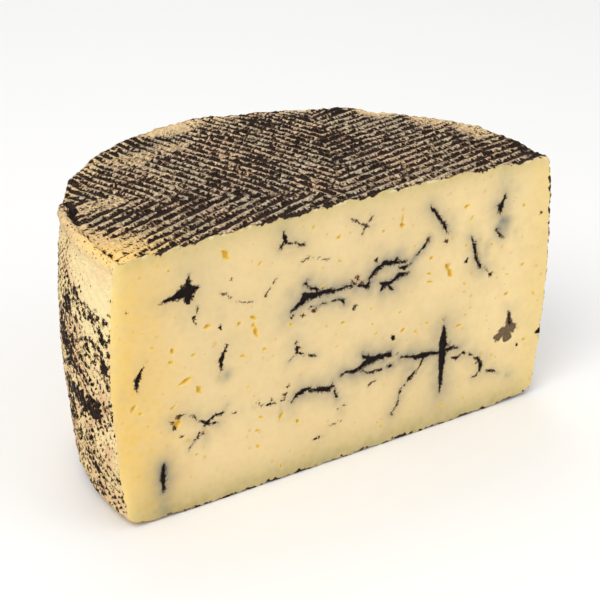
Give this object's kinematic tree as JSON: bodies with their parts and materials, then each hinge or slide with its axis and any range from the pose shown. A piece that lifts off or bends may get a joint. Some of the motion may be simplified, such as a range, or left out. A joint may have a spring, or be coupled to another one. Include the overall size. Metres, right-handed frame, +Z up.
{
  "type": "cheese wheel half",
  "caption": "Half of a pressed cheese wheel, cut upright: flat base, barrel side, slightly domed top with a herringbone-pressed rind, dark veins in the pale cut face.",
  "frame": {"origin": "middle of the piece's width and depth, on the surface it stands on", "axes": "+X along the cut, +Y from the cut face towards the round back, +Z up"},
  "size_m": [0.196, 0.1134, 0.1064],
  "materials": {
    "cheese": "matte, slightly waxy pale yellow paste; cream rind with dark grey-brown pressed marks"
  },
  "bodies": {
    "root": {"cheese_half_wheel": "cheese"}
  },
  "joints": []
}
